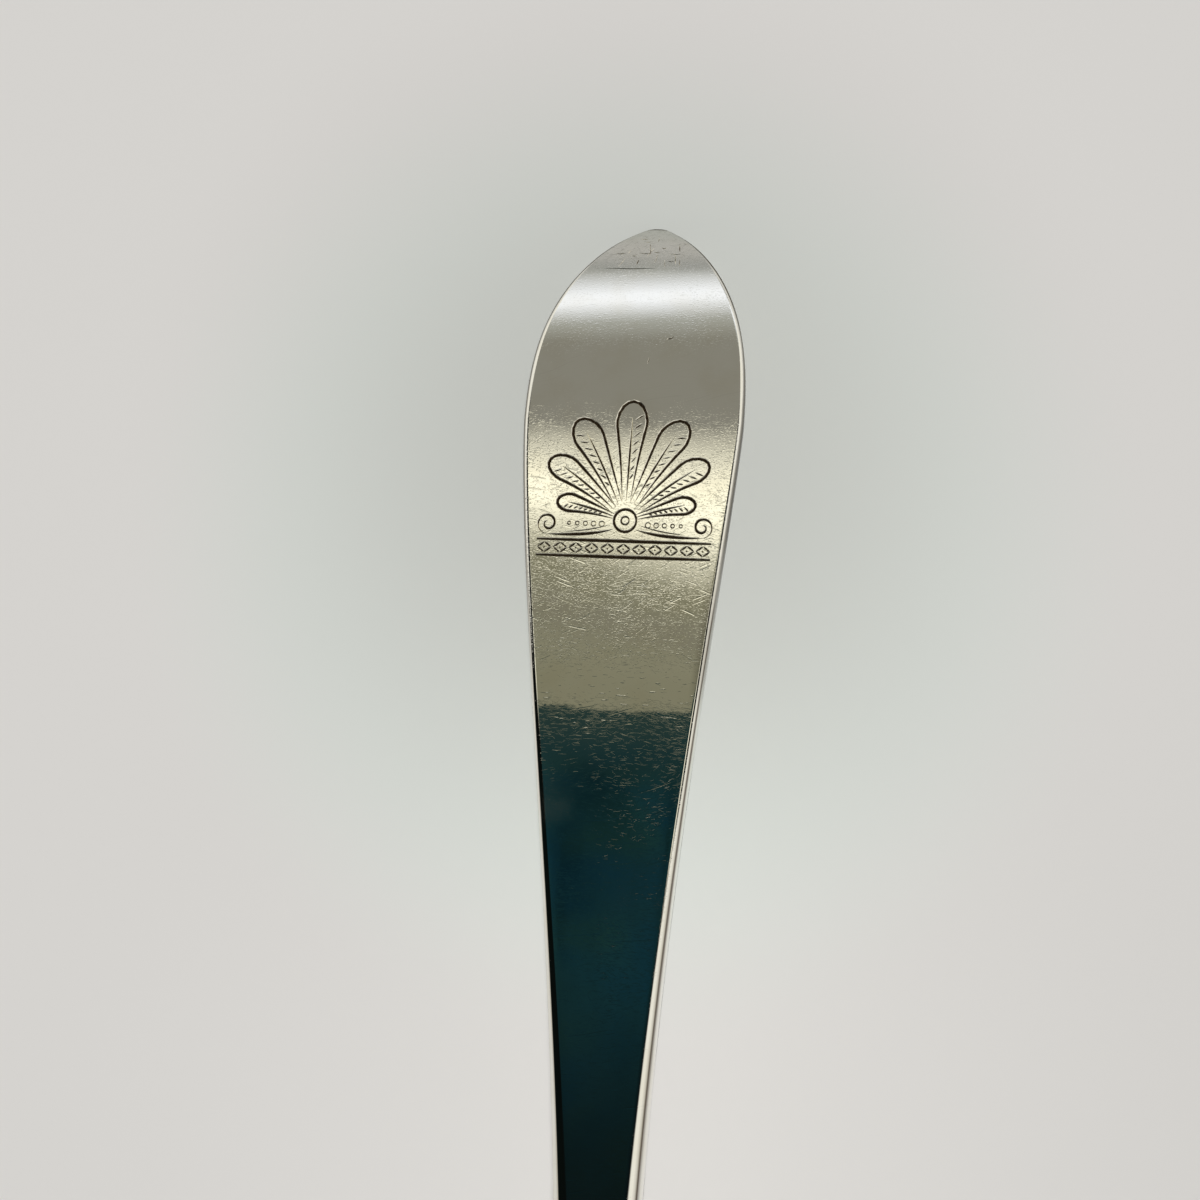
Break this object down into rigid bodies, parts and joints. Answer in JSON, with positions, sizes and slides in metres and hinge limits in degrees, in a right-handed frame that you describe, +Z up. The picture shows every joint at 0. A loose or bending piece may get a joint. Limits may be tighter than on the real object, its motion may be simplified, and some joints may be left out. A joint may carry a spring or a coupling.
{
  "type": "dessert spoon",
  "caption": "Polished silver dessert spoon with an egg-shaped bowl, an arched tapering stem and a broad, pointed end turned down and engraved on its front.",
  "frame": {"origin": "on the table, under the middle of the spoon as it lies with its bowl up", "axes": "+Y along the spoon towards the tip of the handle, +Z up, X across, with X = 0 the plane of symmetry"},
  "size_m": [0.038, 0.176, 0.0155],
  "materials": {
    "bowl_silver": "polished silver with fine scratches from use",
    "stem_silver": "polished silver with fine scratches and engraved lines",
    "drop_silver": "polished silver, a little duller than the bowl"
  },
  "bodies": {
    "root": {"bowl": "bowl_silver", "stem": "stem_silver", "drop": "drop_silver"}
  },
  "joints": []
}
